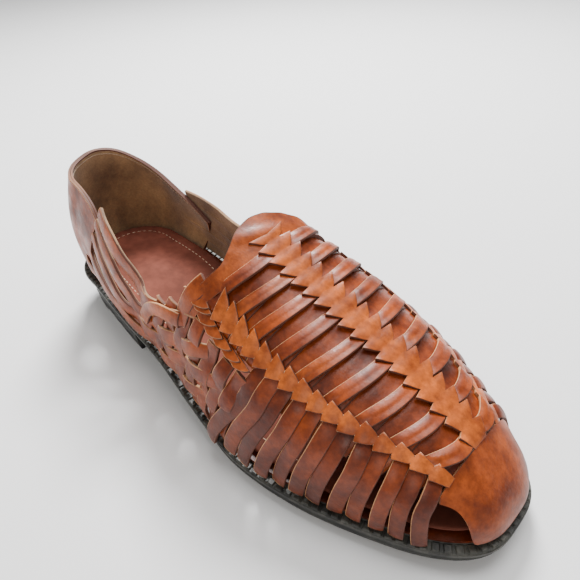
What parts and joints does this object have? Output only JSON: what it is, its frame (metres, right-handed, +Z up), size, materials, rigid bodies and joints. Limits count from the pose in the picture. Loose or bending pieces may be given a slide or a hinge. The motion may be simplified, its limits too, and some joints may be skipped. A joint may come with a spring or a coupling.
{
  "type": "huarache sandal",
  "caption": "Right huarache sandal: woven leather strap upper with closed toe cap, open sides and heel counter, on a welted rubber sole with a low heel.",
  "frame": {"origin": "middle of the heel's flat tread, on the floor", "axes": "+X from heel to toe, +Y towards the inner (medial) side of the foot, +Z up"},
  "size_m": [0.296, 0.1099, 0.1],
  "materials": {
    "upper_leather": "waxed cognac-brown vegetable-tanned leather, semi-gloss, pale cut edges, tan suede lining at the heel",
    "insole_leather": "smooth reddish-brown leather, satin, stitched round its edge",
    "sole_rubber": "matt dark green-black rubber",
    "welt_rubber": "dark rubber rim, notched into blocks, slightly worn"
  },
  "bodies": {
    "root": {"outsole": "sole_rubber", "heel": "sole_rubber", "welt": "welt_rubber", "insole": "insole_leather", "upper": "upper_leather"}
  },
  "joints": []
}
